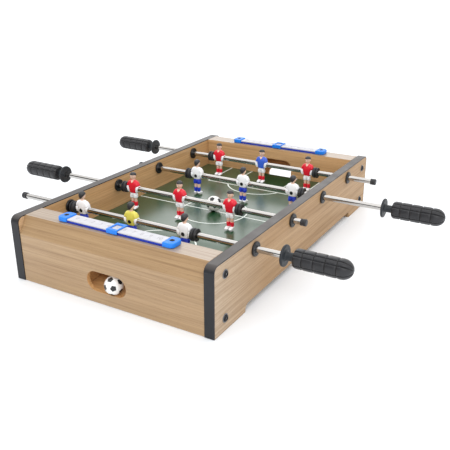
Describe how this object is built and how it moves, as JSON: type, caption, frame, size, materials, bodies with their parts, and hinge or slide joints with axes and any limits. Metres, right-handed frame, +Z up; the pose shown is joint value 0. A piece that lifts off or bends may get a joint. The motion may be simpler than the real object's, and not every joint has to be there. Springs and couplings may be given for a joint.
{
  "type": "foosball table",
  "caption": "Tabletop football game: wooden box with green pitch, sliding and spinning player rods, goals with ball return slots and sliding score counters.",
  "frame": {"origin": "on the ground under the middle of the table", "axes": "+X along the rods, +Y from the end whose slot holds a ball to the other end, +Z up"},
  "size_m": [0.6685, 0.5201, 0.1021],
  "materials": {
    "oak_foil": "satin oak-look foil on board",
    "edge_band": "dark grey PVC edging",
    "raw_board": "bare fibreboard",
    "field_green": "printed glossy green sheet on board",
    "counter_blue": "satin moulded plastic",
    "slider_blue": "satin moulded plastic",
    "number_card": "white printed strip",
    "bushing_black": "black moulded plastic",
    "rubber_black": "black rubber",
    "rod_chrome": "polished",
    "grip_black": "moulded grip",
    "white_team": "painted moulded plastic",
    "red_team": "painted moulded plastic",
    "yellow_keeper": "painted moulded plastic",
    "blue_keeper": "painted moulded plastic",
    "ball_white": "white with black patches"
  },
  "bodies": {
    "table": {"left_side_wall": "oak_foil", "left_edge_band": "edge_band", "right_side_wall": "oak_foil", "right_edge_band": "edge_band", "far_end_box": "oak_foil", "far_ball_tray": "raw_board", "far_counter_rail": "counter_blue", "far_number_strip": "number_card", "near_end_box": "oak_foil", "near_ball_tray": "raw_board", "near_counter_rail": "counter_blue", "near_number_strip": "number_card", "playfield": "field_green", "left_field_batten": "raw_board", "right_field_batten": "raw_board", "rod_1_left_bushing": "bushing_black", "rod_1_right_bushing": "bushing_black", "rod_2_left_bushing": "bushing_black", "rod_2_right_bushing": "bushing_black", "rod_3_left_bushing": "bushing_black", "rod_3_right_bushing": "bushing_black", "rod_4_left_bushing": "bushing_black", "rod_4_right_bushing": "bushing_black"},
    "near_score_marker": {"near_score_slider": "slider_blue"},
    "far_score_marker": {"far_score_slider": "slider_blue"},
    "rod_1_carriage": {"rod_1_left_bumper": "rubber_black", "rod_1_right_bumper": "rubber_black"},
    "rod_1": {"rod_1_tube": "rod_chrome", "rod_1_handle": "grip_black", "rod_1_end_cap": "rubber_black", "rod_1_left_player": "white_team", "rod_1_keeper": "yellow_keeper", "rod_1_right_player": "white_team"},
    "rod_2_carriage": {"rod_2_left_bumper": "rubber_black", "rod_2_right_bumper": "rubber_black"},
    "rod_2": {"rod_2_tube": "rod_chrome", "rod_2_handle": "grip_black", "rod_2_end_cap": "rubber_black", "rod_2_left_player": "red_team", "rod_2_middle_player": "red_team", "rod_2_right_player": "red_team"},
    "rod_3_carriage": {"rod_3_left_bumper": "rubber_black", "rod_3_right_bumper": "rubber_black"},
    "rod_3": {"rod_3_tube": "rod_chrome", "rod_3_handle": "grip_black", "rod_3_end_cap": "rubber_black", "rod_3_left_player": "white_team", "rod_3_middle_player": "white_team", "rod_3_right_player": "white_team"},
    "rod_4_carriage": {"rod_4_left_bumper": "rubber_black", "rod_4_right_bumper": "rubber_black"},
    "rod_4": {"rod_4_tube": "rod_chrome", "rod_4_handle": "grip_black", "rod_4_end_cap": "rubber_black", "rod_4_left_player": "red_team", "rod_4_keeper": "blue_keeper", "rod_4_right_player": "red_team"},
    "field_ball": {"field_ball": "ball_white"},
    "return_ball": {"return_ball": "ball_white"}
  },
  "joints": [
    {"name": "near_score_slide", "type": "slide", "parent": "table", "child": "near_score_marker", "axis": [1, 0, 0], "range_m": [-0.0635, 0.0635]},
    {"name": "far_score_slide", "type": "slide", "parent": "table", "child": "far_score_marker", "axis": [1, 0, 0], "range_m": [-0.0635, 0.0635]},
    {"name": "rod_1_push_pull", "type": "slide", "parent": "table", "child": "rod_1_carriage", "axis": [1, 0, 0], "range_m": [-0.0026, 0.0654]},
    {"name": "rod_1_spin", "type": "hinge", "parent": "rod_1_carriage", "child": "rod_1", "pos_m": [-0.0314, -0.1611, 0.076], "axis": [1, 0, 0], "continuous": true},
    {"name": "rod_2_push_pull", "type": "slide", "parent": "table", "child": "rod_2_carriage", "axis": [1, 0, 0], "range_m": [-0.0079, 0.0601]},
    {"name": "rod_2_spin", "type": "hinge", "parent": "rod_2_carriage", "child": "rod_2", "pos_m": [-0.0261, -0.0537, 0.076], "axis": [1, 0, 0], "continuous": true},
    {"name": "rod_3_push_pull", "type": "slide", "parent": "table", "child": "rod_3_carriage", "axis": [1, 0, 0], "range_m": [-0.0556, 0.0124]},
    {"name": "rod_3_spin", "type": "hinge", "parent": "rod_3_carriage", "child": "rod_3", "pos_m": [0.0216, 0.0537, 0.076], "axis": [1, 0, 0], "continuous": true},
    {"name": "rod_4_push_pull", "type": "slide", "parent": "table", "child": "rod_4_carriage", "axis": [1, 0, 0], "range_m": [-0.0339, 0.0341]},
    {"name": "rod_4_spin", "type": "hinge", "parent": "rod_4_carriage", "child": "rod_4", "pos_m": [-0.0001, 0.1611, 0.076], "axis": [1, 0, 0], "continuous": true},
    {"name": "field_ball_lift", "type": "slide", "parent": "table", "child": "field_ball", "axis": [0, 0, 1], "range_m": [0, 0.08]},
    {"name": "return_ball_take_out", "type": "slide", "parent": "table", "child": "return_ball", "axis": [0, -1, 0], "range_m": [0, 0.08]}
  ]
}
